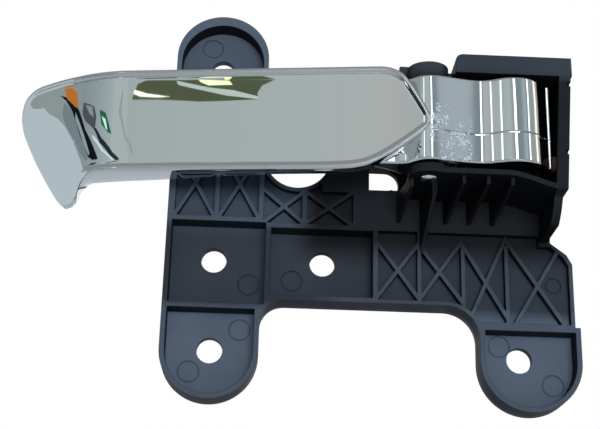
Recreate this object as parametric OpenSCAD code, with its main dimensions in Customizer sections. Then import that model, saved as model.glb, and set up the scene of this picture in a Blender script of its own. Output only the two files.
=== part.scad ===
// Interior door handle for a car: a moulded bracket with a plated pull lever on a vertical pin.
// Millimetres. X runs to the right, Z up, and the viewer stands on the -Y side.
// The origin is the centre of the middle left bolt hole, on the bracket's flat back.

/* [Bolt holes] */
// Diameter of the five bolt holes
bolt_d = 7; // [5.5:0.5:8]
// Height of the ear's bolt hole above the origin
ear_hole_z = 58; // [56:0.5:60]
// Distance from the left to the middle bolt hole
mid_hole_x = 30; // [26:0.5:34]
// Distance from the left to the right leg's bolt hole
right_hole_x = 84; // [82:0.5:87]
// Depth of the legs' bolt holes below the origin
leg_hole_drop = 25.5; // [24:0.5:28]

/* [Plate] */
// Thickness of the plate over its ribs
plate_t = 8; // [7:0.5:10]
// Thickness of the floor in the deep pockets
floor_t = 2.5; // [2:0.1:3.5]
// Depth of the shallow lattice pockets
lattice_depth = 2.2; // [1.5:0.1:3]
// Thickness of the outer walls and the straight ribs
wall_t = 1.4; // [1:0.1:2]
// Thickness of the crossed lattice ribs
lattice_rib_t = 1.1; // [0.8:0.1:1.6]
// Half width of the ear column and of the left leg
column_r = 13.2; // [12.5:0.1:14]
// Half width of the right leg
right_leg_r = 13.7; // [13:0.1:14.5]
// Height of the ear's round centre above its bolt hole
ear_round_rise = 2; // [0:0.1:3]
// Height of the plate's lower edge between the legs, below the origin
arch_drop = 12.2; // [11:0.1:13]
// Width of the plate's edge strip to the right of the housing
edge_strip = 5.9; // [4.5:0.1:6.5]
// Diameter of the round marks that the mould's ejector pins leave
ejector_d = 6; // [5:0.5:7]
// Radius of the finger notch behind the blade
notch_r = 9.1; // [8:0.1:9.5]
// Height of the notch's centre
notch_z = 29.5; // [28:0.5:32]

/* [Housing] */
// Distance from the plate's back to the housing's front rim
housing_depth = 29; // [28:0.5:32]
// Room between the tail and the housing's top wall
top_room = 2; // [1.5:0.1:3]
// Thickness of the top wall
top_wall_t = 5.5; // [4:0.1:6]
// Room between the tail and the housing's bottom wall
bottom_room = 1.5; // [1:0.1:2]
// Thickness of the bottom wall
bottom_wall_t = 1.5; // [1.2:0.1:2]
// Thickness of the right wall
side_wall_t = 3.2; // [2.5:0.1:3.4]
// Thickness of the fins under the bottom wall
fin_t = 1; // [0.8:0.1:1.4]
// Distance from one fin to the next
fin_pitch = 6.5; // [6:0.1:6.8]

/* [Pin] */
// Diameter of the pivot pin
pin_d = 5; // [4:0.1:5.5]
// Distance from the middle left bolt hole to the pin
pin_x = 57; // [56:0.5:58]
// Distance from the plate's back to the pin
pin_y = 24; // [23.5:0.1:24.5]
// Wall of the bosses around the pin
boss_wall = 3.1; // [2.5:0.1:3.6]

/* [Lever] */
// Lower edge of the blade
blade_z = 18.6; // [18:0.1:19.5]
// Height of the blade
blade_h = 30; // [29:0.1:31]
// Distance from the pin to the blade's curled end
blade_reach = 114.3; // [108:0.5:118]
// Thickness of the plated skin of the blade
blade_skin = 2.4; // [1.8:0.1:3]
// Depth of the blade's flanges
blade_depth = 5.6; // [4.5:0.1:6]
// Lower face of the hub and tail
tail_z = 21; // [20.8:0.1:21.6]
// Height of the hub and tail
tail_h = 24.6; // [23.5:0.1:24.8]
// Radius of the hub
hub_r = 8; // [7.5:0.1:8.4]
// Thickness of the tail
tail_t = 4; // [3:0.1:5]
// Reach of the tail from the pin
tail_reach = 32.2; // [30:0.1:32.4]

/* [Fits] */
// Radial clearance of the lever on the pin
pin_clearance = 0.05; // [0.02:0.01:0.1]
// Gap between the hub's faces and the bosses
face_gap = 0.4; // [0.3:0.05:0.6]
// Gap between the tail's end and the rubber buffer
tail_gap = 0.4; // [0.3:0.05:0.8]

/* [Buffer] */
// Diameter of the rubber buffer in the right wall
buffer_d = 4.4; // [3:0.1:5]
// Length of the buffer
buffer_l = 2.8; // [2:0.1:3]

/* [Spring] */
// Diameter of the spring's wire
wire_d = 1.2; // [0.8:0.1:1.4]
// Clearance between the spring's coil and the pin
coil_clearance = 0.5; // [0.4:0.1:0.8]
// Number of turns
coil_turns = 5; // [3:1:6]

/* [Hidden] */
$fn = 64;
over = 1;
ear_z = ear_hole_z + ear_round_rise;
left_leg_z = -leg_hole_drop - 1;
right_leg_x = right_hole_x + 2.2;
right_leg_z = -leg_hole_drop - 1.4;
arch_fillet_r = 9;
arch_fillet_x = right_leg_x - right_leg_r - arch_fillet_r;
edge_corner = 1.5;
edge_corner_z = 0.7;
edge_bevel_z = 3.4;
column_left = -column_r;
notch_x = column_r + notch_r;
notch_right = notch_x + notch_r;
rail_z = 11.2;
left_tab_z = -14.3;
right_tab_z = -17.2;
lattice_x = 44.3;
lattice_pitch = 12;
lattice_top = 8.6;
upright_top = 5.4;
upper_lattice_top = 30.5;
// Heights of the crossed ribs at the left and right of each cell
falling_ribs = [[5.8, -10.8], [4.8, -11.6], [5.2, -15.4], [7, -17.1]];
rising_ribs = [[-11.1, 5.4], [-10.8, 6.6], [-19.6, 7.6], [-20.1, 6.7]];
plate_top = 46;
lower_edge = -arch_drop;
ejector_marks = [[-3.4, ear_hole_z + 7.4], [9.8, -6.7], [21.6, -5.2], [7.9, -leg_hole_drop + 5.9],
    [-5.4, -leg_hole_drop - 6], [right_hole_x - 5.5, -leg_hole_drop + 3.7],
    [right_hole_x + 8.9, -leg_hole_drop - 6.7]];
ear_pocket_z = 32.9;
compartment_x = 14.8;
compartment_top = rail_z - 1.4;
housing_left = 47.5;
fin_turn = 7;
fin_lip = 2.2;
fin_foot_z = 11;
long_fin_foot_z = 2.8;
wall_foot_x = pin_x + tail_reach + side_wall_t + 0.2;
wall_foot_z = 6.7;
wall_lean = 3.1;
wall_head_x = wall_foot_x + wall_lean;
right_edge_x = wall_foot_x + edge_strip;
lattice_end_x = right_edge_x - 2.5;
lattice_mark = [right_edge_x - 5.1, -5];
lattice_mark_d = 0.75 * ejector_d;
top_wall_z = tail_z + tail_h + top_room;
housing_top = top_wall_z + top_wall_t;
bottom_wall_z = tail_z - bottom_room;
buffer_x = pin_x + tail_reach + tail_gap;
buffer_y = pin_y + 2;
buffer_z = tail_z + 1.6;
lip_t = 0.9;
lip_z = 14.6;
lip_notch_z = [lip_z + 10, housing_top - 8.5];
boss_r = pin_d / 2 + boss_wall;
lower_boss_top = tail_z - face_gap;
lower_boss_t = 2.5;
upper_boss_z = tail_z + tail_h + face_gap;
upper_boss_t = 4.2;
upper_rib_x = 49.4;
upper_rib_w = 5.4;
web_y = pin_y - 1.2;
upper_rib_rise = 1.5;
coil_r = pin_d / 2 + coil_clearance + wire_d / 2;
coil_pitch = wire_d * 1.12;
coil_h = coil_turns * coil_pitch;
coil_z = tail_z + tail_h / 2 - coil_h / 2;
spring_room_r = coil_r + wire_d / 2 + 0.4;
spring_room_z = coil_z - 1;
spring_room_h = coil_h + 2;
blade_top = blade_z + blade_h;

// A flat shape drawn in X and Z, made solid from one distance off the back to another
module slab(from, to) {
    translate([0, -from, 0]) rotate([90, 0, 0]) linear_extrude(to - from) children();
}
// A rectangle from two corners
module rect(x0, z0, x1, z1) {
    translate([x0, z0]) square([x1 - x0, z1 - z0]);
}
// A straight strip that runs through two points and a little past them
module strip(a, b, w, past = 2) {
    d = b - a;
    translate(a) rotate(atan2(d[1], d[0])) translate([-past, -w / 2]) square([norm(d) + 2 * past, w]);
}
// Points on an arc
function arc(c, r, a0, a1, n = 12) =
    [for (i = [0:n]) let (a = a0 + (a1 - a0) * i / n) c + r * [cos(a), sin(a)]];
// A concave corner fillet: a square less a circle
module fillet(x, z, r, sx, sz) {
    difference() {
        translate([sx < 0 ? x - r : x, sz < 0 ? z - r : z]) square(r);
        translate([x + sx * r, z + sz * r]) circle(r);
    }
}

// Outline of the whole plate
module plate_outline() {
    left_fillet_r = 6.5;
    difference() {
        union() {
            translate([0, ear_z]) circle(column_r);
            rect(column_left, left_leg_z, column_r, ear_z);
            translate([0, left_leg_z]) circle(column_r);
            translate([right_leg_x, right_leg_z]) circle(right_leg_r);
            rect(right_leg_x - right_leg_r, right_leg_z, right_leg_x + right_leg_r, right_tab_z);
            rect(right_leg_x - right_leg_r, right_tab_z - over, right_edge_x, lower_edge);
            polygon([[column_left, lower_edge], [right_edge_x, lower_edge], [right_edge_x, edge_corner_z],
                [right_edge_x - edge_corner, edge_bevel_z], [wall_foot_x, wall_foot_z],
                [wall_foot_x, plate_top], [column_left, plate_top]]);
            polygon([[housing_left, wall_foot_z], [wall_foot_x, wall_foot_z],
                [wall_head_x, housing_top], [housing_left, housing_top]]);
            fillet(column_r, lower_edge, left_fillet_r, 1, -1);
            fillet(arch_fillet_x + arch_fillet_r, lower_edge, arch_fillet_r, -1, -1);
        }
        translate([notch_x, notch_z]) circle(notch_r);
        rect(notch_x - notch_r, notch_z, notch_right, plate_top + over);
    }
}
// The deep pockets, down to the floor
module deep_pockets() {
    inner = column_r - wall_t;
    intersection() {
        union() {
            translate([0, ear_z - wall_t]) circle(inner);
            rect(-inner, ear_pocket_z, inner, ear_z - wall_t);
        }
        rect(-inner, ear_pocket_z, inner, ear_z + column_r);
    }
    rect(-inner, left_tab_z + wall_t / 2, compartment_x - wall_t / 2, rail_z - wall_t);
    rect(compartment_x + wall_t / 2, lower_edge + wall_t, lattice_x - wall_t / 2, compartment_top - wall_t);
    intersection() {
        union() {
            translate([0, left_leg_z]) circle(inner);
            rect(-inner, left_leg_z, inner, left_tab_z);
        }
        rect(-inner, left_leg_z - inner, inner, left_tab_z - wall_t / 2);
    }
    right_inner = right_leg_r - wall_t;
    intersection() {
        union() {
            translate([right_leg_x, right_leg_z]) circle(right_inner);
            rect(right_leg_x - right_inner, right_leg_z, right_leg_x + right_inner, right_tab_z);
        }
        rect(right_leg_x - right_inner, right_leg_z - right_inner, right_leg_x + right_inner,
            right_tab_z - wall_t);
    }
    rect(housing_left + wall_t, lower_boss_top, wall_foot_x - side_wall_t, upper_boss_z);
}
// One shallow cell with crossed ribs left standing
module crossed_cell(x0, z0, x1, z1) {
    difference() {
        rect(x0, z0, x1, z1);
        strip([x0, z0], [x1, z1], lattice_rib_t);
        strip([x0, z1], [x1, z0], lattice_rib_t);
    }
}
// Area of the lower lattice, inside the plate's edges
module lower_lattice_area() {
    t = lattice_rib_t;
    difference() {
        polygon([[lattice_x + wall_t / 2, lattice_top], [lattice_x + wall_t / 2, lower_edge + t],
            [arch_fillet_x, lower_edge + t], [arch_fillet_x, right_tab_z + wall_t / 2],
            [right_edge_x - t, right_tab_z + wall_t / 2], [right_edge_x - t, edge_corner_z - t / 3],
            [right_edge_x - edge_corner - t, edge_bevel_z - t / 2], [wall_foot_x, wall_foot_z - t],
            [wall_foot_x - side_wall_t, wall_foot_z - t], [wall_foot_x - side_wall_t, lattice_top]]);
        translate([arch_fillet_x, lower_edge - arch_fillet_r]) circle(arch_fillet_r + t);
    }
}
// The shallow recess of the lower lattice, with its upright and crossed ribs left standing
module lower_lattice() {
    difference() {
        lower_lattice_area();
        for (i = [0:3]) {
            x0 = lattice_x + i * lattice_pitch;
            x1 = i == 3 ? lattice_end_x : x0 + lattice_pitch;
            strip([x0, falling_ribs[i][0]], [x1, falling_ribs[i][1]], lattice_rib_t, 0.4);
            strip([x0, rising_ribs[i][0]], [x1, rising_ribs[i][1]], lattice_rib_t, 0.4);
            top = i == 1 ? lattice_top + over : upright_top;
            if (i > 0) rect(x0 - lattice_rib_t / 2, right_tab_z, x0 + lattice_rib_t / 2, top);
        }
    }
}
// The shallow recesses of the upper lattice, beside and under the notch
module upper_lattice() {
    left = column_left + wall_t + 0.5;
    middle = 0.3;
    rib = notch_x + 2.3;
    right = rib + 13.4;
    low = compartment_top;
    high = low + 9.8;
    half = wall_t / 2;
    crossed_cell(left, rail_z, middle - half, upper_lattice_top);
    crossed_cell(middle + half, rail_z, column_r - wall_t, upper_lattice_top);
    difference() {
        rect(column_r, low, right, notch_z - notch_r / 2);
        translate([notch_x, notch_z]) circle(notch_r + lattice_rib_t);
        rect(notch_right - 2, high, right + over, notch_z);
        rect(rib - half, low - over, rib + half, notch_z);
        for (x = [[column_r, rib], [rib, right]]) {
            strip([x[0], high], [x[1], low], lattice_rib_t);
            strip([x[0], low], [x[1], high], lattice_rib_t);
        }
    }
}
module lattice_pockets() {
    lower_lattice();
    upper_lattice();
}
module bolt_holes() {
    for (p = [[0, ear_hole_z], [0, 0], [mid_hole_x, 0], [0, -leg_hole_drop], [right_hole_x, -leg_hole_drop]])
        translate([p[0], over, p[1]]) rotate([90, 0, 0]) cylinder(d = bolt_d, h = plate_t + 2 * over);
}
// Round marks, sunk a little into the floor, each with a fine groove around it
module ejector_dent(x, z, surface, d) {
    groove = 0.3;
    translate([x, -surface - over, z]) rotate([-90, 0, 0]) {
        cylinder(d = d - 2 * groove, h = over + 0.1);
        difference() {
            cylinder(d = d, h = over + groove);
            translate([0, 0, -over]) cylinder(d = d - 2 * groove, h = 3 * over);
        }
    }
}
module ejector_dents() {
    for (p = ejector_marks) ejector_dent(p[0], p[1], floor_t, ejector_d);
    ejector_dent(lattice_mark[0], lattice_mark[1], plate_t - lattice_depth, lattice_mark_d);
}
// Window beside the lower boss, flat on its left side
module window() {
    x = pin_x - 14.6;
    z = tail_z + 3.6;
    r = 4.1;
    straight = 4.8;
    rect(x, z - r, x + straight, z + r);
    translate([x + straight, z]) circle(r);
}
// Right wall of the housing, leaning out towards its top, with a lip along its outer face
function wall_x(z) = wall_foot_x + wall_lean * (z - wall_foot_z) / (housing_top - wall_foot_z);
module side_wall() {
    scoop_r = 12;
    corner = 2;
    intersection() {
        slab(0, housing_depth) polygon([[wall_foot_x - side_wall_t, wall_foot_z],
            [wall_foot_x - lip_t, wall_foot_z], [wall_x(lip_z) - lip_t, lip_z], [wall_x(lip_z), lip_z],
            [wall_head_x, housing_top], [wall_head_x - side_wall_t, housing_top]]);
        translate([wall_foot_x - 2 * side_wall_t, 0, 0]) rotate([90, 0, 90]) linear_extrude(4 * side_wall_t)
            polygon(concat([[0, wall_foot_z - over], [0, housing_top + over],
                [-housing_depth, housing_top + over], [-housing_depth, lip_z],
                [corner - housing_depth, lip_z - 1]],
                arc([scoop_r + corner - housing_depth, lip_z + 1.6], scoop_r, 195, 250, 8),
                [[-plate_t, wall_foot_z - over]]));
    }
}
// Small notches in the lip's front edge
module lip_notches() {
    for (z = lip_notch_z)
        translate([wall_x(z) - lip_t, -housing_depth - over, z]) cube([2 * lip_t, over + 1.5, 1.3]);
}
// Seat of the rubber buffer, in the right wall
module buffer_form() {
    translate([buffer_x, -buffer_y, buffer_z]) rotate([0, 90, 0]) cylinder(d = buffer_d, h = buffer_l);
}
// Top wall of the housing, rounded at its left end
module top_wall() {
    left = pin_x + 7;
    round_r = 2;
    slab(0, housing_depth) difference() {
        union() {
            rect(left, top_wall_z, wall_head_x - round_r, housing_top);
            rect(wall_head_x - 2 * round_r, top_wall_z, wall_head_x, housing_top - 1);
        }
        difference() {
            rect(left - over, housing_top - round_r, left + round_r, housing_top + over);
            translate([left + round_r, housing_top - round_r]) circle(round_r);
        }
    }
}
// Bottom wall of the housing, dropping towards the right wall
module bottom_wall_section() {
    drop = 3.4;
    flat_end = pin_x + 20;
    wall_end = wall_foot_x - side_wall_t + over;
    n = 10;
    top = [for (i = [0:n]) let (t = i / n) [flat_end + (wall_end - flat_end) * t,
        bottom_wall_z - drop * (1 - cos(180 * t * 0.8)) / 1.81]];
    low = [for (i = [n:-1:0]) top[i] - [0, bottom_wall_t]];
    polygon(concat([[pin_x, bottom_wall_z - bottom_wall_t], [pin_x, bottom_wall_z]], top, low));
}
// One fin under the bottom wall, turned a little about its foot
module fin(x, front, foot_z) {
    head_z = bottom_wall_z - bottom_wall_t / 2;
    lip_foot_z = bottom_wall_z - bottom_wall_t - fin_lip;
    translate([x, -plate_t, 0]) rotate([0, 0, fin_turn]) translate([-fin_t / 2, plate_t, 0])
        rotate([90, 0, 90]) linear_extrude(fin_t)
            polygon([[-floor_t, head_z], [-front, head_z], [-front, lip_foot_z], [-plate_t, foot_z],
                [-floor_t, foot_z]]);
}
// A boss for the pin, with its web back to the plate, clear of the blade's back
module boss(z, h, web_left) {
    web_right = pin_x + 7.5;
    translate([pin_x, -pin_y, z]) cylinder(r = boss_r, h = h);
    translate([web_left, -web_y, z]) cube([web_right - web_left, web_y, h]);
}
module mounting_bracket() color([0.13, 0.14, 0.16]) {
    difference() {
        union() {
            difference() {
                slab(0, plate_t) plate_outline();
                slab(floor_t, plate_t + over) deep_pockets();
                slab(plate_t - lattice_depth, plate_t + over) lattice_pockets();
                ejector_dents();
                bolt_holes();
            }
            side_wall();
            slab(0, housing_depth) bottom_wall_section();
            top_wall();
            boss(lower_boss_top - lower_boss_t, lower_boss_t, pin_x - 0.9 * boss_r);
            boss(upper_boss_z, upper_boss_t, housing_left);
            translate([upper_rib_x, -web_y, upper_boss_z])
                cube([upper_rib_w, web_y, upper_boss_t + upper_rib_rise]);
            for (i = [0:4])
                fin(pin_x + (i - 1) * fin_pitch, i < 2 ? pin_y : housing_depth - 1.5,
                    i == 1 ? long_fin_foot_z : fin_foot_z);
        }
        slab(-over, plate_t + over) window();
        translate([pin_x, -pin_y, 0]) cylinder(d = pin_d, h = upper_boss_z + upper_boss_t + 2 * over);
        buffer_form();
        lip_notches();
    }
}

// Front of the lever's blade seen from above: straight, then curling to its left end
blade_tip_x = pin_x + 0.2;
blade_tip_y = pin_y + 6.7;
curl_x = pin_x - blade_reach;
curl_end = [curl_x, -1.3];
curl_corner = [curl_x + 9.6, -15.3];
curl_start = [curl_x + 26, -19.6];
function bend(a, b, c, t) = (1 - t) * (1 - t) * a + 2 * t * (1 - t) * b + t * t * c;
curl_line = [for (i = [0:12]) bend(curl_end, curl_corner, curl_start, i / 12)];
blade_back_line = [for (i = [12:-1:0]) let (t = i / 12)
    curl_line[i] + [2.4 * (1 - t), lerp(1.2, blade_depth, t)]];
function lerp(a, b, t) = a + (b - a) * t;
module blade_plan() {
    polygon(concat(curl_line, [[blade_tip_x, -blade_tip_y]], [[blade_tip_x, blade_depth - blade_tip_y]],
        blade_back_line));
}
// Outline of the blade seen from the front, with the prong at its lower left corner
prong_z = blade_z - 7.8;
module blade_face() {
    x = curl_x;
    tip = blade_tip_x;
    polygon([[tip - 12.7, blade_top], [tip - 8, blade_top - 1.8], [tip - 5.4, blade_top - 5.4],
        [tip - 0.4, blade_z + 15.1], [tip, blade_z + 13.3], [tip - 0.5, blade_z + 11.8],
        [tip - 6.9, blade_z + 6.8], [tip - 13.6, blade_z + 2.4], [tip - 21.2, blade_z],
        [x + 22.9, blade_z], [x + 20.7, prong_z + 5.6], [x + 19.8, prong_z + 1.8], [x + 18.6, prong_z + 0.4],
        [x + 16.8, prong_z], [x + 14.9, prong_z + 1.3], [x + 11, prong_z + 6.9], [x + 5.6, prong_z + 16.2],
        [x + 1.1, blade_z + 17.8], [x + 0.1, blade_z + 21.5], [x, blade_z + 23.7], [x + 0.4, blade_top - 3.8],
        [x + 1.4, blade_top - 1.6], [x + 3.2, blade_top - 0.3], [x + 5.8, blade_top]]);
}
// Plane of the bevelled end. It meets the blade along a crease from the top corner to the prong.
crease_top = [curl_x + 5.5, -6.3, blade_z + 24];
crease_foot = [curl_x + 23.1, -18.8, blade_z + 0.2];
bevel_point = [curl_x + 6.8, -3, blade_z + 5.9];
bevel_cross = cross(bevel_point - crease_top, crease_foot - crease_top);
bevel_n = bevel_cross / norm(bevel_cross);
bevel_lean = acos(bevel_n[2]);
bevel_turn = atan2(bevel_n[1], bevel_n[0]);
crease = crease_foot - crease_top;
crease_angle = atan2(crease * [-sin(bevel_turn), cos(bevel_turn), 0],
    crease * [cos(bevel_turn) * cos(bevel_lean), sin(bevel_turn) * cos(bevel_lean), -sin(bevel_lean)]);
// A box on the bevel's plane: X along the crease, Z out of the plane
module on_bevel(from, size) {
    translate(crease_top) rotate([0, bevel_lean, bevel_turn]) rotate([0, 0, crease_angle])
        translate(from) cube(size);
}
module blade() {
    channel_right = blade_tip_x - 14.7;
    reach = 4 * blade_h;
    difference() {
        intersection() {
            linear_extrude(blade_top + over) blade_plan();
            slab(0.1, housing_depth + 2 * hub_r) blade_face();
        }
        on_bevel([-reach / 2, -reach / 2, 0], [reach, reach, reach]);
        // Hollow of the channel behind the skin
        translate([0, 0, blade_z + blade_skin]) linear_extrude(blade_h - 2 * blade_skin)
            polygon([curl_start + [1.6, blade_skin], [channel_right, blade_skin - blade_tip_y + 1.8],
                [channel_right, 2 * blade_depth - blade_tip_y], curl_start + [1.6, 2 * blade_depth]]);
    }
    intersection() {
        on_bevel([-reach / 2, -reach, -blade_skin], [reach, reach + 1, blade_skin]);
        slab(0.1, housing_depth) blade_face();
    }
}
// Front curve of the tail, a wave that runs from the hub to the tail's end
wave_depth = 3.1;
wave_share = 0.7;
end_sweep = 6.6;
function tail_front(t) = [pin_x + tail_reach * t, -pin_y - hub_r
    + wave_depth / 2 * (1 - cos(360 * min(t / wave_share, 1)))
    + end_sweep * pow(max(0, (t - 0.55) / 0.45), 2)];
module tail_plan() {
    n = 24;
    front = [for (i = [0:n]) tail_front(i / n)];
    polygon(concat(front, [for (i = [n:-1:0]) front[i] + [0, tail_t]]));
}
// Neck between the blade and the hub
module neck_plan() {
    left = pin_x - 2 * hub_r;
    polygon([[left, -blade_tip_y + 2.1], [pin_x, -pin_y - hub_r], [pin_x, 4 - pin_y],
        [pin_x - 7, hub_r / 2 - pin_y], [left, -pin_y]]);
}
module pull_lever() color([0.8, 0.82, 0.84]) {
    difference() {
        union() {
            blade();
            translate([0, 0, tail_z]) linear_extrude(tail_h) tail_plan();
            translate([pin_x, -pin_y, tail_z]) cylinder(r = hub_r, h = tail_h);
            translate([0, 0, tail_z]) linear_extrude(tail_h) neck_plan();
        }
        translate([pin_x, -pin_y, tail_z - over])
            cylinder(r = pin_d / 2 + pin_clearance, h = tail_h + 2 * over);
        // Room for the spring, open towards the door
        translate([pin_x, -pin_y, spring_room_z]) cylinder(r = spring_room_r, h = spring_room_h);
        translate([pin_x - spring_room_r, -pin_y, spring_room_z])
            cube([2 * spring_room_r, hub_r + over, spring_room_h]);
    }
}

// Pin with domed ends
module pivot_pin() color([0.85, 0.86, 0.88]) {
    low = lower_boss_top - lower_boss_t;
    high = upper_boss_z + upper_boss_t;
    dome = 0.8;
    r = pin_d / 2;
    step = 15;
    lower_dome = [for (i = [1:6]) [r * sin(step * i), low - dome * cos(step * i)]];
    upper_dome = [for (i = [6:-1:1]) [r * sin(step * i), high + dome * cos(step * i)]];
    translate([pin_x, -pin_y, 0]) rotate_extrude()
        polygon(concat([[0, low - dome]], lower_dome, upper_dome, [[0, high + dome]]));
}

// Wire swept along a list of points, with a ring across the wire at each
module wire(path, r, sides = 8) {
    n = len(path);
    dir = [for (i = [0:n - 1]) let (d = path[min(i + 1, n - 1)] - path[max(i - 1, 0)]) d / norm(d)];
    pts = [for (i = [0:n - 1]) let (u = cross(dir[i], [0, 0, 1]), un = u / norm(u), v = cross(un, dir[i]))
        for (k = [0:sides - 1]) path[i] + r * (un * cos(360 * k / sides) + v * sin(360 * k / sides))];
    first = [for (k = [sides - 1:-1:0]) k];
    last = [for (k = [0:sides - 1]) (n - 1) * sides + k];
    sleeve = [for (i = [0:n - 2]) for (k = [0:sides - 1])
        let (a = i * sides, b = a + sides, m = (k + 1) % sides) [a + k, a + m, b + m, b + k]];
    faces = concat([first], [last], sleeve);
    polyhedron(pts, faces, convexity = 6);
}
module return_spring() color([0.55, 0.56, 0.58]) {
    steps = 18;
    bracket_leg = pin_y - floor_t - wire_d / 2 - face_gap;
    lever_leg = hub_r - 2;
    turns = coil_turns - 0.5;
    turn = [for (i = [0:turns * steps]) let (a = 180 + 360 * i / steps)
        [coil_r * cos(a), coil_r * sin(a), coil_pitch * i / steps]];
    path = concat([[-coil_r, bracket_leg, 0]], turn, [[coil_r, lever_leg, coil_pitch * turns]]);
    translate([pin_x, -pin_y, coil_z + wire_d / 2]) wire(path, wire_d / 2);
}

// Rubber buffer on the inside of the right wall
module tail_buffer() color([0.36, 0.16, 0.1]) {
    buffer_form();
}

mounting_bracket();
pull_lever();
pivot_pin();
return_spring();
tail_buffer();
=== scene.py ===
import math

import bmesh
import bpy
import numpy as np
from mathutils import Euler, Matrix, Vector
from mathutils.geometry import delaunay_2d_cdt


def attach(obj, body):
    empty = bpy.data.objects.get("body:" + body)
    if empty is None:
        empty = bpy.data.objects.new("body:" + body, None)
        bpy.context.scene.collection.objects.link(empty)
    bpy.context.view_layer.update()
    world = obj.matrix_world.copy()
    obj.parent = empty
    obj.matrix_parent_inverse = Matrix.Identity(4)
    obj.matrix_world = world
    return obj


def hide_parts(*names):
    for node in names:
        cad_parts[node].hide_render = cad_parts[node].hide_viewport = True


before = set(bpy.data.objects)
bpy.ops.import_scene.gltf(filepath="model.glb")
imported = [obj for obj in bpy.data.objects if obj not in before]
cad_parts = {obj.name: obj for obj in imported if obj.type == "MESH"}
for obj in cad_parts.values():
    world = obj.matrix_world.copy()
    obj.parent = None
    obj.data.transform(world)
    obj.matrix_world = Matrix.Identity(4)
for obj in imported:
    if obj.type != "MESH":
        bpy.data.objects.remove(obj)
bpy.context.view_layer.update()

MM = 0.001

# Camera, fitted to the photograph. Its angles are in degrees, its lens and sensor in millimetres.
CAMERA_PLACE = Vector((13.36, -329.59, -106.87)) * MM
CAMERA_AZIMUTH = 1.773
CAMERA_ELEVATION = 20.35
CAMERA_ROLL = 1.508
CAMERA_LENS = 74.5
CAMERA_SENSOR = 36


def make_camera():
    data = bpy.data.cameras.new("camera")
    data.sensor_width = CAMERA_SENSOR
    data.lens = CAMERA_LENS
    data.clip_start = 0.01
    camera = bpy.data.objects.new("camera", data)
    bpy.context.collection.objects.link(camera)
    aim = Euler((math.radians(90 + CAMERA_ELEVATION), 0, math.radians(-CAMERA_AZIMUTH))).to_matrix()
    turn = Matrix.Rotation(math.radians(CAMERA_ROLL), 3, "Z")
    camera.matrix_world = Matrix.Translation(CAMERA_PLACE) @ (aim @ turn).to_4x4()
    bpy.context.scene.camera = camera


class Graph:
    """Short calls that add nodes to a node tree. A value is a socket or a plain number."""

    def __init__(self, tree):
        self.nodes = tree.nodes
        self.links = tree.links

    def feed(self, socket, value):
        """Gives an input its value, by a link or as a constant."""
        if isinstance(value, bpy.types.NodeSocket):
            self.links.new(value, socket)
        else:
            socket.default_value = value

    def split(self, vector):
        node = self.nodes.new("ShaderNodeSeparateXYZ")
        self.links.new(vector, node.inputs[0])
        return node.outputs["X"], node.outputs["Y"], node.outputs["Z"]

    def object_place(self):
        """Object coordinates in metres, and their X, Y and Z."""
        place = self.nodes.new("ShaderNodeTexCoord").outputs["Object"]
        return place, *self.split(place)

    def math(self, operation, first, second=0):
        node = self.nodes.new("ShaderNodeMath")
        node.operation = operation
        self.feed(node.inputs[0], first)
        self.feed(node.inputs[1], second)
        return node.outputs["Value"]

    def plus(self, first, second):
        return self.math("ADD", first, second)

    def minus(self, first, second):
        return self.math("SUBTRACT", first, second)

    def larger(self, first, second):
        return self.math("MAXIMUM", first, second)

    def times(self, first, *others):
        for other in others:
            first = self.math("MULTIPLY", first, other)
        return first

    def remap(self, value, low, high, new_low=0, new_high=1):
        """The value's range from low to high, carried over to another range and cut off at its ends."""
        node = self.nodes.new("ShaderNodeMapRange")
        self.links.new(value, node.inputs["Value"])
        for name, number in zip(("From Min", "From Max", "To Min", "To Max"), (low, high, new_low, new_high)):
            node.inputs[name].default_value = number
        return node.outputs["Result"]

    def between(self, value, low, high, fade):
        """1 from low to high, fading to 0 beyond them."""
        return self.times(self.remap(value, low - fade, low), self.remap(value, high, high + fade, 1, 0))

    def noise(self, place, scale, detail=3.0, roughness=0.5):
        node = self.nodes.new("ShaderNodeTexNoise")
        node.inputs["Scale"].default_value = scale
        node.inputs["Detail"].default_value = detail
        node.inputs["Roughness"].default_value = roughness
        self.links.new(place, node.inputs["Vector"])
        return node.outputs["Fac"]

    def ramp(self, value, *stops):
        """A colour for each value, blended between stops that each have a value and a colour."""
        node = self.nodes.new("ShaderNodeValToRGB")
        elements = node.color_ramp.elements
        while len(elements) < len(stops):
            elements.new(0.5)
        for element, (position, colour) in zip(elements, stops):
            element.position = position
            element.color = (*colour, 1)
        self.links.new(value, node.inputs["Fac"])
        return node.outputs["Color"]

    def bump(self, height, strength, distance, normal=None):
        node = self.nodes.new("ShaderNodeBump")
        self.feed(node.inputs["Strength"], strength)
        node.inputs["Distance"].default_value = distance
        self.links.new(height, node.inputs["Height"])
        if normal is not None:
            self.links.new(normal, node.inputs["Normal"])
        return node.outputs["Normal"]


def new_material(name):
    """A material, its graph and its shader's inputs."""
    material = bpy.data.materials.new(name)
    material.use_nodes = True
    graph = Graph(material.node_tree)
    return material, graph, graph.nodes["Principled BSDF"].inputs


# A noise lies mostly within this range
CLOUD = (0.3, 0.7)

# Moulded plastic of the bracket. Each zone changes from its first edge to its second, in metres.
SOFT_EDGE_RADIUS = 0.0004
PLATE_EDGE_Y = (-0.0028, -0.0022)
LEG_ENDS_Z = (-0.024, -0.014)
FEET_Z = (-0.011, -0.0155)
EAR_Z = (0.0455, 0.049)
EAR_X = (0.02, 0.05)
HOUSING_X = (0.02, 0.028)
HOUSING_Z = (-0.001, 0.006)
HOUSING_OUTSIDE_X = (0.0975, 0.0985)
RIGHT_LATTICE_X = (0.026, 0.036)
UPPER_LATTICE_Z = (0.007, 0.01)
RAISED_Y = (-0.0073, -0.0064)
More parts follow.
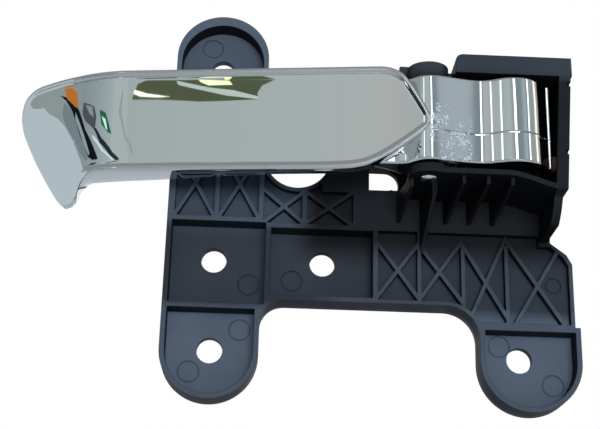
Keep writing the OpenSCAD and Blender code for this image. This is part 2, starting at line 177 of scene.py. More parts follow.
# Share of painted sheen on the plate's floors, what it loses in the right lattice as painted shade and gains
# in the upper one as painted light, and its share at the feet and on the rear
SHEEN_ON_PLATE = 0.3
SHEEN_LESS_AT_RIGHT = 0.04
SHEEN_MORE_ABOVE = 0.2
SHEEN_AT_FEET = 0.92
SHEEN_ON_REAR = 0.3
# The ear's painted sheen as a share of the feet's, from left to right
SHEEN_ON_EAR = (0.85, 0.5)
# Painted light on the plate's edge, as a share of its floor's painted sheen, at the legs' ends and above them
SHEEN_ON_EDGE = (0.3, 0.85)
# What is left of the painted sheen in the painted shade around the housing, and the least painted sheen on
# any face, elsewhere and in that shade
SHADE_LEAVES = 0.07
LEAST_SHEEN = (0.09, 0.01)
# How much more painted sheen the raised rims, the right lattice's ribs and the upper one's hold than the
# floors: painted shade on the rims, painted highlights on the ribs
ON_RIMS, ON_RIGHT_RIBS, ON_UPPER_RIBS = -0.28, 0.9, 0.25


def painted_sheen_share(graph, x, y, z, facing, cloud):
    """How much painted sheen lies on the bracket, with painted light at the feet, the ear and the upper
    lattice and painted shade around the housing. facing is -1 where a face looks forward and 1 at the rear.
    """
    ear = graph.times(graph.remap(z, *EAR_Z), graph.remap(x, *EAR_X, *SHEEN_ON_EAR))
    ends = graph.larger(graph.remap(z, *FEET_Z), ear)
    off_ends = graph.minus(1, ends)
    # Painted shade: the sheen nearly goes away around the lever's housing and below the lever
    housing_shade = graph.times(graph.remap(x, *HOUSING_X), graph.remap(z, *HOUSING_Z),
                       graph.remap(x, *HOUSING_OUTSIDE_X, 1, 0), off_ends)
    right = graph.times(graph.remap(x, *RIGHT_LATTICE_X), off_ends)
    upper = graph.remap(z, *UPPER_LATTICE_Z)

    share = graph.minus(SHEEN_ON_PLATE, graph.times(right, SHEEN_LESS_AT_RIGHT))
    share = graph.plus(share, graph.times(upper, SHEEN_MORE_ABOVE))
    share = graph.larger(share, graph.times(ends, SHEEN_AT_FEET))
    share = graph.times(share, graph.remap(housing_shade, 0, 1, 1, SHADE_LEAVES))

    # Painted highlights on the lattice ribs and painted shade on the rims
    ribs = graph.larger(graph.remap(right, 0, 1, ON_RIMS, ON_RIGHT_RIBS),
                        graph.remap(upper, 0, 1, ON_RIMS, ON_UPPER_RIBS))
    raised = graph.times(graph.remap(y, *RAISED_Y, 1, 0), ribs)
    # Painted light kept on the plate's thin edge near the rear
    plate_edge = graph.times(graph.remap(y, *PLATE_EDGE_Y), graph.remap(z, *LEG_ENDS_Z, *SHEEN_ON_EDGE))
    # Painted sheen only on faces that look forward; faces that look down or aside stay bare black as painted
    # shade
    forward = graph.remap(facing, -0.25, -0.95)
    share = graph.times(share, graph.plus(1, raised), graph.larger(forward, plate_edge))
    share = graph.larger(share, graph.remap(housing_shade, 0, 1, *LEAST_SHEEN))

    rear = graph.remap(facing, 0.5, 0.9)
    share = graph.plus(graph.times(share, graph.minus(1, rear)), graph.times(rear, SHEEN_ON_REAR))
    return graph.times(share, graph.remap(cloud, *CLOUD, 0.85, 1.12))


def moulded_plastic(name, bare, sheen_colour):
    """Satin black nylon with softened edges, and a bluish painted sheen on the faces that look forward.

    The painted sheen is strongest at the feet and the ear, and painted shade takes it nearly away around the
    lever's housing."""
    material, graph, shader = new_material(name)
    place, x, y, z = graph.object_place()
    cloud = graph.noise(place, 60, 4)
    soft = graph.nodes.new("ShaderNodeBevel")
    soft.samples = 6
    soft.inputs["Radius"].default_value = SOFT_EDGE_RADIUS
    facing = graph.split(soft.outputs["Normal"])[1]
    share = painted_sheen_share(graph, x, y, z, facing, cloud)
    # The bare black plastic, with the painted sheen laid over it by share
    graph.feed(shader["Base Color"], graph.ramp(share, (0, bare), (1, sheen_colour)))
    graph.feed(shader["Roughness"], graph.remap(cloud, *CLOUD, 0.42, 0.55))
    graph.feed(shader["Specular IOR Level"], graph.remap(facing, -0.2, -0.9, 0.1, 0.5))
    graph.feed(shader["IOR"], 1.25)
    grain = graph.noise(place, 2600, 2)
    graph.feed(shader["Normal"], graph.bump(grain, 0.25, 0.0001, soft.outputs["Normal"]))
    return material


# Chrome plating of the lever, in metres
PARTING_LINE_Z = 0.0294
PARTING_LINE_WANDER = 0.0006
PARTING_LINE_WIDTH = 0.0003
HUB_STARTS_X = (0.0565, 0.058)
# Pitted areas: left, right, low and top edge
PITTED = ((0.0595, 0.0676, 0.0215, 0.0292), (0.0585, 0.0612, 0.031, 0.0365), (0.0642, 0.0676, 0.0308, 0.0335),
          (0.0568, 0.0584, 0.0272, 0.0335))
PITTED_FADE_X, PITTED_FADE_Z = 0.0006, 0.0015


def parting_line(graph, place, x, z):
    """1 on the casting's parting line, which wanders a little around the hub and the tail."""
    wander = graph.remap(graph.noise(place, 70, 1), 0, 1, -PARTING_LINE_WANDER, PARTING_LINE_WANDER)
    distance = graph.math("ABSOLUTE", graph.minus(graph.plus(z, wander), PARTING_LINE_Z))
    return graph.times(graph.remap(distance, 0, PARTING_LINE_WIDTH, 1, 0), graph.remap(x, *HUB_STARTS_X))


def pitted_share(graph, place, x, z):
    """1 in the blotches where the plating is pitted."""
    share = 0
    for left, right, low, top in PITTED:
        area = graph.times(graph.between(x, left, right, PITTED_FADE_X),
                           graph.between(z, low, top, PITTED_FADE_Z))
        share = graph.larger(share, area)
    return graph.times(share, graph.remap(graph.noise(place, 420, 3), 0.42, 0.56))


def chrome_plate(name):
    """Bright plating on a casting: faint waves, a parting line, and a pitted patch on the hub, whose specks
    are coloured bluish white as painted glints.
    """
    material, graph, shader = new_material(name)
    place, x, _, z = graph.object_place()
    pitted = pitted_share(graph, place, x, z)
    grain = graph.noise(place, 1900, 2, 0.6)
    # Specks in the pitted patch: real pits, coloured bluish white and less metallic as painted glints
    pit_and_glint = graph.times(graph.remap(grain, 0.46, 0.58), pitted)
    graph.feed(shader["Base Color"], graph.ramp(pit_and_glint, (0, (0.74, 0.76, 0.77)), (1, (0.56, 0.7, 0.84))))
    graph.feed(shader["Metallic"], graph.remap(pit_and_glint, 0, 1, 1, 0.2))
    smooth = graph.remap(graph.noise(place, 90, 3), *CLOUD, 0.012, 0.03)
    graph.feed(shader["Roughness"], graph.plus(smooth, graph.times(pit_and_glint, 0.2)))
    waves = graph.bump(graph.noise(place, 45, 1), 0.5, 0.00003)
    lined = graph.bump(parting_line(graph, place, x, z), 1, 0.0001, waves)
    graph.feed(shader["Normal"], graph.bump(grain, pitted, 0.00015, lined))
    return material


# The pin is dark with oil from the lower of these heights up, in metres
OILED_Z = (0.02, 0.03)


def bright_steel(name):
    """Ground steel pin, cloudy and finely grained, with an oiled upper end."""
    material, graph, shader = new_material(name)
    place, _, _, z = graph.object_place()
    cloud = graph.noise(place, 350, 3)
    tone = graph.larger(cloud, graph.remap(z, *OILED_Z))
    graph.feed(shader["Base Color"], graph.ramp(
        tone, (0.3, (0.9, 0.91, 0.92)), (0.7, (0.78, 0.79, 0.80)), (1, (0.06, 0.06, 0.065))))
    graph.feed(shader["Metallic"], 1)
    graph.feed(shader["Roughness"], graph.remap(cloud, *CLOUD, 0.1, 0.2))
    graph.feed(shader["Normal"], graph.bump(graph.noise(place, 3500, 2), 0.2, 0.00005))
    return material


def spring_steel(name):
    """Oiled spring wire, dark and cloudy."""
    material, graph, shader = new_material(name)
    cloud = graph.noise(graph.object_place()[0], 500, 3)
    graph.feed(shader["Base Color"], graph.ramp(
        cloud, (0.3, (0.16, 0.16, 0.17)), (0.7, (0.33, 0.33, 0.34))))
    graph.feed(shader["Metallic"], 1)
    graph.feed(shader["Roughness"], graph.remap(cloud, *CLOUD, 0.25, 0.4))
    return material


def brown_rubber(name):
    """Dull reddish-brown rubber with a powdery film."""
    material, graph, shader = new_material(name)
    place = graph.object_place()[0]
    cloud = graph.noise(place, 700, 4)
    graph.feed(shader["Base Color"], graph.ramp(
        cloud, (0.3, (0.03, 0.01, 0.009)), (0.7, (0.055, 0.02, 0.017))))
    graph.feed(shader["Roughness"], graph.remap(cloud, *CLOUD, 0.65, 0.85))
    graph.feed(shader["Normal"], graph.bump(graph.noise(place, 3000, 2), 0.3, 0.0001))
    return material


def dress(node_name, material):
    """Gives a shown CAD node its material."""
    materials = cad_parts[node_name].data.materials
    materials.clear()
    materials.append(material)


# Lines in the plane

def resample(points, step, passes, closed=False):
    """A line at even steps, with its corners eased. An open line keeps its ends."""
    points = [np.array(point, float) for point in points]
    dense = []
    for start, end in zip(points, points[1:] + points[:1] if closed else points[1:]):
        count = max(1, round(float(np.linalg.norm(end - start)) / step))
        dense += [start + (end - start) * i / count for i in range(count)]
    line = np.array(dense if closed else dense + points[-1:])
    for _ in range(passes):
        eased = (np.roll(line, 1, 0) + 2 * line + np.roll(line, -1, 0)) / 4
        if closed:
            line = eased
        else:
            line[1:-1] = eased[1:-1]
    return line


def left_normals(line):
    """Unit normals to the left of a closed line."""
    tangent = np.roll(line, -1, 0) - np.roll(line, 1, 0)
    tangent /= np.linalg.norm(tangent, axis=1)[:, None]
    return np.stack([-tangent[:, 1], tangent[:, 0]], 1)


def edge_distance(points, line):
    """Distance from each point to a closed line."""
    start, end = line, np.roll(line, -1, 0)
    along = end - start
    offset = points[:, None] - start[None]
    share = np.einsum("pij,ij->pi", offset, along) / np.einsum("ij,ij->i", along, along)
    nearest = start[None] + np.clip(share, 0, 1)[..., None] * along[None]
    return np.linalg.norm(points[:, None] - nearest, axis=2).min(1)


def within(points, line):
    """Even-odd test of each point against a closed line."""
    start, end = line, np.roll(line, -1, 0)
    x, z = points[:, 0, None], points[:, 1, None]
    crosses = (start[None, :, 1] > z) != (end[None, :, 1] > z)
    rise = np.where(end[:, 1] == start[:, 1], 1e-9, end[:, 1] - start[:, 1])
    cut = start[None, :, 0] + (z - start[None, :, 1]) * ((end[:, 0] - start[:, 0]) / rise)[None]
    return (crosses & (x < cut)).sum(1) % 2 == 1


def smoothstep(value, low, high):
    share = np.clip((value - low) / (high - low), 0, 1)
    return share * share * (3 - 2 * share)


def triangulate(points, loops):
    """Triangles over flat points, kept inside the closed loops of indices: the points and the faces."""
    edges = [(a, b) for loop in loops for a, b in zip(loop, loop[1:] + loop[:1])]
    result = delaunay_2d_cdt([Vector(p) for p in points], edges, [], 2 if len(loops) > 1 else 1, 1e-6)
    return result[0], result[2]


# The lever's blade: its outline in X and Z, seen from the front, and its depth along Y. Millimetres.

BLADE_OUTLINE = [(44.5, 48.4), (47, 47.8), (49, 46.7), (50.4, 45.3), (51.8, 43.2), (54.4, 38.6),
                 (55.8, 36), (56.9, 33.7), (57.2, 31.9), (56.7, 30.4), (55, 28.9), (50.3, 25.4),
                 (46.9, 23), (43.6, 21), (40.2, 19.4), (36, 18.6), (30.4, 18.4), (-34.3, 18.6),
                 (-36.4, 16.5), (-37.2, 14.5), (-37.5, 12.6), (-38.6, 11.2), (-40.4, 10.8),
                 (-42.4, 12.1), (-44.2, 14.4), (-46.3, 17.7), (-48.8, 21.9), (-51.7, 27), (-54.3, 32.2),
                 (-56.2, 36.4), (-57.2, 40), (-57.3, 42.3), (-57, 44.6), (-56, 46.9), (-54.1, 48.4),
                 (-51.5, 48.9), (-47, 48.8), (-40, 48.6)]
# The face curls back to the left: its slope in plan at each X, and its place where the curl starts
CURL = ((-25, -0.13), (-38, -0.5), (-46, -0.75), (-54.5, -0.8))
CURL_START_Y = -20.4
# The crease between the face and the bevelled end, and the end's flat facet, measured from the crease's top
CREASE_TOP = np.array((-51.8, 42.6))
CREASE_ACROSS = np.array((-0.804, -0.595))
CREASE_ALONG = np.array((0.595, -0.804))
CREASE_LENGTH = 29.6
CREASE_SOFTNESS = 0.03
FACET_DEPTH = -6.2
FACET_FALL = -0.405
FACET_SLOPE = 0.82
# A bead runs around the rim, and along the crease where it dies away by these slopes past and before its top
BEAD_HEIGHT = 0.6
BEAD_SIDE = (0.9, 2.2)
BEAD_FADES = (0.22, 3)
# Rounding of the front edge around the face and around the facet
EDGE_RADIUS = 0.9
FACET_EDGE_RADIUS = 0.4
# The shell is a skin with a flange around its back, which deepens to the left and ends at the facet
SKIN = 2.4
LEAST_SKIN = 0.4
FLANGE_DEPTH = (3.8, 8.5)
FLANGE_DEEPENS = (-20, 34)
FLANGE_ENDS = (-2, 9)
FLANGE_SIDE = (1.5, 2.1)
# The front and the back come no nearer to the bracket's rear plane than this
FRONT_LIMIT, BACK_LIMIT = -0.5, -0.1
# Spacing of the mesh: the outline, rings inside it, strips along the crease, and a grid for the rest
OUTLINE_STEP = 0.7
RIM_RINGS = (0.12, 0.3, 0.5, 0.7, 0.9, 1.1, 1.35, 1.6, 1.85, 2.1, 2.4)
CREASE_STRIPS = (-1.2, -0.8, -0.5, -0.25, 0, 0.25, 0.5, 0.8, 1.2)
STRIP_STEP = 0.7
GRID_STEP = 0.9
GRID_ROW = GRID_STEP * 0.87
GRID_X, GRID_Z = (-58, 58), (9, 50)


def curl_y(x):
    """Front face of the blade, seen from above."""
    y = CURL_START_Y
    if x >= CURL[0][0]:
        return y + CURL[0][1] * (x - CURL[0][0])
    for (x0, slope0), (x1, slope1) in zip(CURL, CURL[1:]):
        if x >= x1:
            slope = slope0 + (slope1 - slope0) * (x - x0) / (x1 - x0)
            return y + (x - x0) * (slope0 + slope) / 2
        y += (x1 - x0) * (slope0 + slope1) / 2
    return y + (x - x1) * slope1


def blade_front(points, rim):
    """Front surface at each (x, z): the face inside its bead, and the bevelled end past the crease."""
    offset = points - CREASE_TOP
    across, along = offset @ CREASE_ACROSS, offset @ CREASE_ALONG
    base = np.array([curl_y(x) for x in points[:, 0]])
    past, before = np.clip(along, 0, None), np.clip(-along, 0, None)
    near_crease = np.abs(across) + BEAD_FADES[0] * past + BEAD_FADES[1] * before
    crest = BEAD_HEIGHT / 2
    face = base - crest + BEAD_HEIGHT * smoothstep(np.minimum(rim, near_crease), *BEAD_SIDE)
    facet = FACET_DEPTH - crest + FACET_FALL * along + FACET_SLOPE * across
    front = (face + facet + np.sqrt((face - facet) ** 2 + CREASE_SOFTNESS)) / 2
    radius = EDGE_RADIUS - (EDGE_RADIUS - FACET_EDGE_RADIUS) * smoothstep(across, -1, 2)
    edge = radius * (1 - np.sqrt(1 - (1 - np.clip(rim / radius, 0, 1)) ** 2))
    return np.minimum(front + edge, FRONT_LIMIT)


def blade_back(points, rim, front_crest):
    """Back surface at each (x, z): a skin behind the front, and the flange around it."""
    across = (points - CREASE_TOP) @ CREASE_ACROSS
    least, most = FLANGE_DEPTH
    flange = least + (most - least) * smoothstep(-points[:, 0], *FLANGE_DEEPENS)
    flange += (SKIN - flange) * smoothstep(across, *FLANGE_ENDS)
    return front_crest + SKIN + (flange - SKIN) * (1 - smoothstep(rim, *FLANGE_SIDE))


def blade_points(line):
    """Points over the blade: the outline first, then the rings, the strips and the grid."""
    found = [line]
    inward = -left_normals(line)
    for ring in RIM_RINGS:
        candidate = line + inward * ring
        found.append(candidate[edge_distance(candidate, line) > ring - 0.02])
    strips = np.array([CREASE_TOP + CREASE_ACROSS * across + CREASE_ALONG * s
                       for across in CREASE_STRIPS for s in np.arange(1, CREASE_LENGTH, STRIP_STEP)])
    found.append(strips[edge_distance(strips, line) > RIM_RINGS[-1] + 0.2])
    grid = np.array([(x + (row % 2) * GRID_STEP / 2, z) for row, z in enumerate(np.arange(*GRID_Z, GRID_ROW))
                     for x in np.arange(*GRID_X, GRID_STEP)])
    offset = grid - CREASE_TOP
    off_rings = edge_distance(grid, line) > RIM_RINGS[-1] + 0.3
    off_strips = np.abs(offset @ CREASE_ACROSS) > CREASE_STRIPS[-1] + 0.4
    past_strips = offset @ CREASE_ALONG > CREASE_LENGTH
    found.append(grid[within(grid, line) & off_rings & (off_strips | past_strips)])
    return np.concatenate(found)


def make_blade(maker):
    """A front and a back sheet over one plan of triangles, joined around their edge."""
    line = resample(BLADE_OUTLINE, OUTLINE_STEP, 4, closed=True)
    flat, faces = triangulate(blade_points(line), [list(range(len(line)))])
    points = np.array([tuple(p) for p in flat])
    rim = edge_distance(points, line)
    rim[rim < 1e-4] = 0
    front = blade_front(points, rim)
    back = blade_back(points, rim, blade_front(points, np.maximum(rim, EDGE_RADIUS)))
    back = np.minimum(np.maximum(back, front + LEAST_SKIN), BACK_LIMIT)
    front_verts = [maker.verts.new((x, y, z)) for (x, z), y in zip(points, front)]
    back_verts = [maker.verts.new((x, y, z)) for (x, z), y in zip(points, back)]
    sides = []
    for face in faces:
        a, b, c = face
        turn = np.cross(points[b] - points[a], points[c] - points[a])
        face = face if turn > 0 else face[::-1]
        maker.faces.new([front_verts[i] for i in face])
        maker.faces.new([back_verts[i] for i in face[::-1]])
        sides += zip(face, face[1:] + face[:1])
    shared = set(sides)
    for a, b in sides:
        if (b, a) not in shared:
            maker.faces.new([front_verts[b], front_verts[a], back_verts[a], back_verts[b]])


# The lever's hub and tail: a plan in X and Y, seen from above, raised along Z. Millimetres.

PIN = np.array((57.0, -24.0))
BORE_R = 2.57
# A room around the pin holds the spring, and is open to the rear
ROOM_R = 4.7
ROOM_REAR_Y = -17.6
ROOM_LOW, ROOM_TOP = 28.9, 37.8
HUB_LOW, HUB_TOP = 21.0, 45.6
HUB_EDGE_RADIUS = 0.6
HUB_FRONT = [(41.5, -26.6), (46, -26.8), (49, -26.9), (51, -27.3), (52.2, -28.6), (53.5, -30),
             (55, -30.75), (56.8, -31.1), (58.3, -31), (59.8, -30.7), (62.3, -30.15), (65, -29.55),
             (67.5, -29.02), (69.5, -28.8), (71.2, -28.85), (72.8, -29.3), (74, -29.85), (75.3, -30.55),
             (77.2, -31.25), (79.5, -31.6), (81.5, -31.6), (83.3, -31.2), (85.5, -29.85), (87.9, -27.5),
             (88.6, -26.75)]
HUB_TIP = [(88.75, -26.55), (89.1, -26.63), (89.5, -26.66), (89.75, -26.4), (89.75, -26), (89.6, -24.6),
           (89.2, -22.8)]
HUB_BACK = [(88.4, -22), (85, -24.3), (82, -26), (78.5, -27.2), (75, -26.4), (71, -24.8), (67, -23.4),
            (65, -22.2), (64, -19.8), (62, ROOM_REAR_Y)]
HUB_REAR = [(52, ROOM_REAR_Y), (49.6, -19.6), (46, -22), (41.5, -24)]
# Spacing of the plan's points, and of those around the tip
FRONT_STEP, BACK_STEP, TIP_STEP = 0.35, 0.7, 0.12


class Welder:
    """Adds faces to a mesh in the making, with one vertex for each place."""

    def __init__(self, maker):
        self.maker = maker
        self.known = {}

    def vert(self, point, z):
        key = (round(float(point[0]), 4), round(float(point[1]), 4), round(float(z), 4))
        if key not in self.known:
            self.known[key] = self.maker.verts.new(key)
        return self.known[key]

    def wall(self, lower, low, upper, top, closed=True):
        """Faces from one line up to another with as many points."""
        for i in range(len(lower) if closed else len(lower) - 1):
            j = (i + 1) % len(lower)
            corners = ((lower[i], low), (lower[j], low), (upper[j], top), (upper[i], top))
            self.maker.faces.new([self.vert(point, z) for point, z in corners])

    def cap(self, outline, hole, z):
        """Level faces inside the outline, with the hole left open."""
        loops = [list(range(len(outline))), list(range(len(outline), len(outline) + len(hole)))]
        flat, faces = triangulate(outline + hole, loops)
        for face in faces:
            centre = sum((np.array(tuple(flat[i])) for i in face), np.zeros(2)) / len(face)
            if within(centre[None], np.array(outline))[0] and not within(centre[None], np.array(hole))[0]:
                self.maker.faces.new([self.vert(flat[i], z) for i in face])


def rounded_rise(low, top, radius, steps=5):
    """Pairs of inset and height that round the lower and the upper end of a raised plan."""
    turn = [math.radians(90 * i / steps) for i in range(steps + 1)]
    rise = [(radius * (1 - math.sin(a)), low + radius * (1 - math.cos(a))) for a in turn]
    return rise, [(inset, low + top - z) for inset, z in reversed(rise)]


def around_pin(radius, angles):
    return [PIN + radius * np.array((math.cos(a), math.sin(a))) for a in angles]


def make_hub(maker):
    """The hub with its bore and its room for the spring, and the waved tail with its thin tip."""
    room_right, room_left = (PIN[0] + ROOM_R, ROOM_REAR_Y), (PIN[0] - ROOM_R, ROOM_REAR_Y)
    front = resample(HUB_FRONT, FRONT_STEP, 16)
    tip = resample([tuple(front[-1])] + HUB_TIP + HUB_BACK[:1], TIP_STEP, 3)[1:-1]
    rear_right = resample(HUB_BACK + [room_right], BACK_STEP, 8)
    gap = resample([room_right, room_left], BACK_STEP, 0)[1:-1]
    rear_left = resample([room_left] + HUB_REAR, BACK_STEP, 8)
    plan = np.concatenate([front, tip, rear_right, gap, rear_left])
    inward = left_normals(plan)
    gap_start = len(front) + len(tip) + len(rear_right) - 1
    gap_end = gap_start + len(gap) + 1
    bore = around_pin(BORE_R, np.linspace(0, 2 * math.pi, 48, False))
    room_arc = around_pin(ROOM_R, np.linspace(0, -math.pi, 25))

    welder = Welder(maker)
    low_rise, top_rise = rounded_rise(HUB_LOW, HUB_TOP, HUB_EDGE_RADIUS)
    rise = low_rise + [(0, ROOM_LOW), (0, ROOM_TOP)] + top_rise
    for (inset0, z0), (inset1, z1) in zip(rise, rise[1:]):
        if z0 == ROOM_LOW:
            beside_gap = np.concatenate([plan[gap_end:], plan[:gap_start + 1]])
            welder.wall(beside_gap, z0, beside_gap, z1, closed=False)
        else:
            welder.wall(plan + inward * inset0, z0, plan + inward * inset1, z1)
    for inset, z in (rise[0], rise[-1]):
        welder.cap(list(plan + inward * inset), bore, z)
    welder.wall(bore, HUB_LOW, bore, ROOM_LOW)
    welder.wall(bore, ROOM_TOP, bore, HUB_TOP)
    room = [plan[gap_start]] + room_arc + [plan[gap_end]]
    welder.wall(room, ROOM_LOW, room, ROOM_TOP, closed=False)
    for z in (ROOM_LOW, ROOM_TOP):
        welder.cap(list(plan[gap_start:gap_end + 1]) + room_arc[::-1], bore, z)


# Edges sharper than this, in degrees, stay sharp in the shading
SHARP_EDGE = 38


def make_lever(material):
    """The blade and the hub as one plated piece, in metres."""
    maker = bmesh.new()
    make_blade(maker)
    make_hub(maker)
    mesh = bpy.data.meshes.new("lever")
    for vert in maker.verts:
        vert.co *= MM
    bmesh.ops.recalc_face_normals(maker, faces=maker.faces)
    for face in maker.faces:
        face.smooth = True
    maker.to_mesh(mesh)
    maker.free()
    mesh.set_sharp_from_angle(angle=math.radians(SHARP_EDGE))
    mesh.materials.append(material)
    lever = bpy.data.objects.new("plated_lever", mesh)
    bpy.context.collection.objects.link(lever)
    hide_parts("pull_lever")
    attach(lever, "lever")


# Floor, world and lamps, in metres and watts
FLOOR_Z = -0.18
FLOOR_HALF_SIZE = 3
FLOOR_GLOW = 0.45
WORLD_LIGHT = 0.06
# Soft lamps: name, place, size and power
LAMPS = (("key", (0.15, -1.05, -0.08), 0.5, 11.0), ("low_fill", (-0.2, -0.7, -0.8), 0.6, 3.0),
         ("back", (0.1, 1.1, 0.35), 0.7, 9.0), ("left", (-0.95, 0.1, 0.45), 0.6, 6.0),
         ("right", (1.05, 0.1, 0.45), 0.6, 6.0))


def make_floor():
    """A plain pale floor. It glows for the camera alone, to be as white as what lies behind it."""
    mesh = bpy.data.meshes.new("floor")
    maker = bmesh.new()
    bmesh.ops.create_grid(maker, x_segments=1, y_segments=1, size=FLOOR_HALF_SIZE)
    maker.to_mesh(mesh)
    maker.free()
    floor = bpy.data.objects.new("floor", mesh)
    floor.location = (0, 0, FLOOR_Z)
    bpy.context.collection.objects.link(floor)
    material, graph, shader = new_material("floor_paint")
    cloud = graph.noise(graph.object_place()[0], 3, 2)
    graph.feed(shader["Base Color"], graph.ramp(
        cloud, (0.3, (0.49, 0.55, 0.59)), (0.7, (0.51, 0.57, 0.61))))
    graph.feed(shader["Roughness"], 0.7)
    graph.feed(shader["Emission Color"], (1, 1, 1, 1))
    camera_ray = graph.nodes.new("ShaderNodeLightPath").outputs["Is Camera Ray"]
    graph.feed(shader["Emission Strength"], graph.remap(camera_ray, 0, 1, 0, FLOOR_GLOW))
    floor.data.materials.append(material)


def make_world():
    """White to the camera and to reflections, and a plain soft light for everything else."""
    world = bpy.data.worlds.new("world")
    bpy.context.scene.world = world
    world.use_nodes = True
    graph = Graph(world.node_tree)
    background = graph.nodes["Background"].inputs
    graph.feed(background["Color"], (1, 1, 1, 1))
    ray = graph.nodes.new("ShaderNodeLightPath").outputs
    seen = graph.larger(ray["Is Camera Ray"], graph.larger(ray["Is Glossy Ray"], ray["Is Transmission Ray"]))
    graph.feed(background["Strength"], graph.remap(seen, 0, 1, WORLD_LIGHT, 1))


def make_lamps():
    """Soft lamps that point at the object and show in no reflection."""
    for name, place, size, power in LAMPS:
        data = bpy.data.lights.new(name, "AREA")
        data.size = size
        data.energy = power
        lamp = bpy.data.objects.new(name, data)
        lamp.location = place
        lamp.rotation_euler = (-Vector(place)).to_track_quat("-Z", "Y").to_euler()
        lamp.visible_glossy = False
        lamp.visible_camera = False
        bpy.context.collection.objects.link(lamp)


# The studio that the plating mirrors, as cards on domes around the object. Only reflections see them.
# Azimuths run from the viewer's side, positive to the right, and elevations up from the horizon, in degrees.
# Panels: name, colour, the dome's radius in metres, and the left, right, low and top edge
WALLS = (("strip_middle", (2.6, 2.6, 2.6), 1.25, (3.5, 8.5, 9, 37)),
         ("strip_right", (2.6, 2.6, 2.6), 1.25, (48, 53, 9, 37)),
         ("strip_end", (1.6, 1.5, 1.4), 1.25, (78, 84, 9, 37)),
         ("strip_left", (1.8, 1.9, 1.9), 1.25, (-31, -27.5, 9, 37)),
         ("wall_facet", (0.56, 0.65, 0.69), 1.28, (-150, -68, -8, 19.2)),
         ("low_dark", (0.03, 0.035, 0.04), 1.3, (-68, 100, 1, 9)),
         ("ceiling", (0.30, 0.31, 0.31), 1.3, (-180, 180, 37, 90)))
# A panel is split into cells of about this width and height, to follow its dome
PANEL_CELL = (4, 6)
# The wall between the strips, as one panel: azimuths and colours, blending from one to the next
RING = ((-150, (0.30, 0.34, 0.34)), (-100, (0.33, 0.38, 0.37)), (-76, (0.34, 0.39, 0.39)),
        (-62, (0.30, 0.36, 0.38)), (-50, (0.36, 0.43, 0.45)), (-40, (0.42, 0.49, 0.51)),
        (-33, (0.50, 0.55, 0.55)), (-26, (0.44, 0.50, 0.50)), (-20, (0.47, 0.53, 0.53)),
        (-12, (0.50, 0.55, 0.55)), (-6, (0.53, 0.55, 0.53)), (-2, (0.40, 0.46, 0.48)),
        (10, (0.24, 0.30, 0.32)), (22, (0.27, 0.33, 0.36)), (31, (0.42, 0.48, 0.51)),
        (38, (0.45, 0.52, 0.55)), (43, (0.26, 0.33, 0.36)), (56, (0.42, 0.50, 0.53)),
        (66, (0.34, 0.38, 0.38)), (76, (0.48, 0.46, 0.42)), (90, (0.55, 0.51, 0.45)),
        (93, (0.03, 0.03, 0.03)), (99, (0.03, 0.03, 0.03)), (101, (1, 1, 1)), (150, (1, 1, 1)))
RING_SPAN = (RING[0][0], RING[-1][0], 9, 37)
RING_RADIUS = 1.3
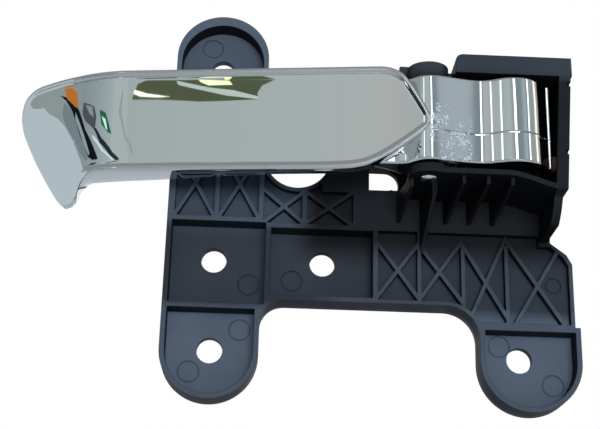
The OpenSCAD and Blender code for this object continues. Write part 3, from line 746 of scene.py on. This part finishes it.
# Shapes that the blade mirrors: name, colour, radius and corners. Their domes are so small that the tail,
# which faces much the same way from its own place, doesn't mirror them as well.
SHAPES = (
    ("green_window", (0.1, 0.125, 0.07), 0.14,
     [(-28.5, 37.3), (-27.0, 38.0), (-17.6, 38.8), (-3.4, 38.9), (-5.9, 38.1), (-6.9, 37.0),
      (-6.7, 36.1), (-17.4, 35.6), (-24.5, 35.4), (-29.1, 34.9)]),
    ("window_streak_a", (1.6, 1.6, 1.3), 0.135,
     [(-29.2, 36.8), (-26.9, 36.5), (-22.5, 36.4), (-24.7, 36.1), (-28.1, 35.9), (-29.3, 36.2)]),
    ("window_streak_b", (1.4, 1.5, 0.9), 0.135,
     [(-17.6, 39.3), (-11.7, 39.3), (-11.1, 38.7), (-15.6, 38.5), (-17.0, 38.9)]),
    ("window_streak_c", (0.62, 0.72, 0.66), 0.135,
     [(-21.7, 38.9), (-15.6, 38.2), (-11.0, 37.9), (-6.3, 36.9), (-6.4, 36.5), (-12.3, 37.1),
      (-18.2, 37.9), (-21.3, 38.3)]),
    ("stripe_black", (0.008, 0.01, 0.012), 0.25,
     [(-80.5, 29.6), (-71.2, 29.3), (-64.9, 28.3), (-58.0, 26.2), (-49.0, 23.8), (-47.3, 24.0),
      (-51.4, 23.7), (-54.9, 23.8), (-63.4, 26.0), (-70.3, 28.1), (-75.6, 29.1)]),
    ("stripe_line", (0.35, 0.42, 0.45), 0.24,
     [(-68.0, 28.3), (-65.1, 27.6), (-54.4, 24.4), (-55.1, 24.1), (-59.7, 25.2), (-67.5, 27.5)]),
    ("orange", (0.62, 0.2, 0.03), 0.24,
     [(-77.8, 30.5), (-71.3, 30.7), (-67.8, 30.2), (-66.0, 28.8), (-68.4, 28.8), (-75.0, 29.5)]),
    ("mosaic", (0.09, 0.105, 0.12), 0.25,
     [(-62.4, 29.2), (-53.7, 29.0), (-51.3, 28.0), (-51.9, 26.7), (-59.6, 27.4), (-62.4, 28.1)]),
    ("mosaic_light", (0.32, 0.36, 0.36), 0.24,
     [(-60.8, 29.2), (-55.2, 29.1), (-53.7, 28.1), (-57.1, 28.4)]),
    ("curve_dark", (0.02, 0.03, 0.04), 0.25,
     [(-53.9, 27.1), (-50.5, 26.9), (-45.7, 26.1), (-35.5, 25.0), (-29.0, 24.5), (-32.3, 24.3),
      (-37.8, 24.6), (-47.0, 25.6)]),
    ("curve_light", (0.75, 0.9, 0.95), 0.24,
     [(-54.1, 26.3), (-51.6, 26.2), (-43.4, 25.1), (-34.3, 24.4), (-36.0, 24.3), (-44.9, 24.9),
      (-52.2, 25.9)]),
    ("green_patch", (0.02, 0.14, 0.08), 0.25,
     [(-49.4, 28.8), (-44.3, 28.7), (-37.7, 26.7), (-41.2, 26.8), (-46.7, 27.4)]),
    ("green_light", (0.8, 1.2, 1.0), 0.24,
     [(-47.4, 28.4), (-43.9, 28.2), (-41.5, 27.1), (-43.3, 27.3)]),
    ("grey_dark_left", (0.22, 0.28, 0.3), 0.27,
     [(-77.1, 28.6), (-70.3, 27.8), (-63.3, 25.8), (-54.8, 23.7), (-56.1, 23.4), (-71.2, 22.8),
      (-78.7, 22.8), (-78.1, 27.6)]),
    ("curl_cover", (0.5, 0.56, 0.56), 0.27,
     [(-39, 37), (-38, 30), (-37.5, 25), (-37, 20), (-24, 20), (-25.4, 26), (-26.3, 29.5), (-27, 32),
      (-26, 37)]),
    ("curl_contour", (0.37, 0.42, 0.42), 0.26,
     [(-31.4, 31.2), (-30.6, 31.2), (-30.6, 29.0), (-27.1, 27.5), (-25.1, 26.3), (-24.7, 25.2),
      (-24.9, 25.2), (-25.3, 26.2), (-28.5, 27.4), (-33.2, 28.9)]),
)


def on_dome(radius, azimuth, elevation):
    azimuth, elevation = math.radians(azimuth), math.radians(elevation)
    flat = radius * math.cos(elevation)
    return flat * math.sin(azimuth), -flat * math.cos(azimuth), radius * math.sin(elevation)


def make_card(name, colour, corners, faces):
    """A glowing card that only reflections see."""
    mesh = bpy.data.meshes.new(name)
    mesh.from_pydata(corners, [], faces)
    card = bpy.data.objects.new(name, mesh)
    bpy.context.collection.objects.link(card)
    material, graph, shader = new_material(name)
    graph.feed(shader["Base Color"], (0, 0, 0, 1))
    graph.feed(shader["Emission Color"], (*colour, 1))
    graph.feed(shader["Emission Strength"], 1)
    graph.feed(shader["Specular IOR Level"], 0)
    mesh.materials.append(material)
    card.visible_camera = card.visible_diffuse = card.visible_shadow = False
    card.visible_transmission = False
    return graph, shader


def make_panel(name, colour, radius, span):
    """A card of cells between two azimuths and two elevations."""
    left, right, low, top = span
    across, up = (max(1, round(size / cell)) for size, cell in zip((right - left, top - low), PANEL_CELL))
    corners = [on_dome(radius, left + (right - left) * i / across, low + (top - low) * j / up)
               for j in range(up + 1) for i in range(across + 1)]
    starts = [j * (across + 1) + i for j in range(up) for i in range(across)]
    faces = [(start, start + 1, start + across + 2, start + across + 1) for start in starts]
    return make_card(name, colour, corners, faces)


def make_ring():
    """The wall as one panel, with its colours blended around it."""
    left, right = RING_SPAN[:2]
    graph, shader = make_panel("wall_ring", RING[0][1], RING_RADIUS, RING_SPAN)
    _, x, y, _ = graph.object_place()
    azimuth = graph.math("ARCTAN2", x, graph.times(y, -1))
    share = graph.remap(azimuth, math.radians(left), math.radians(right))
    stops = [((place - left) / (right - left), colour) for place, colour in RING]
    graph.feed(shader["Emission Color"], graph.ramp(share, *stops))


def make_studio():
    make_ring()
    for name, colour, radius, span in WALLS:
        make_panel(name, colour, radius, span)
    for name, colour, radius, corners in SHAPES:
        make_card(name, colour, [on_dome(radius, *corner) for corner in corners], [range(len(corners))])


bpy.context.scene.view_settings.view_transform = "Standard"
make_camera()
make_world()
make_floor()
make_lamps()
make_studio()
dress("mounting_bracket", moulded_plastic("moulded_black", (0.006, 0.006, 0.007), (0.098, 0.13, 0.182)))
dress("pivot_pin", bright_steel("bright_steel"))
dress("return_spring", spring_steel("spring_steel"))
dress("tail_buffer", brown_rubber("brown_rubber"))
make_lever(chrome_plate("chrome_plate"))
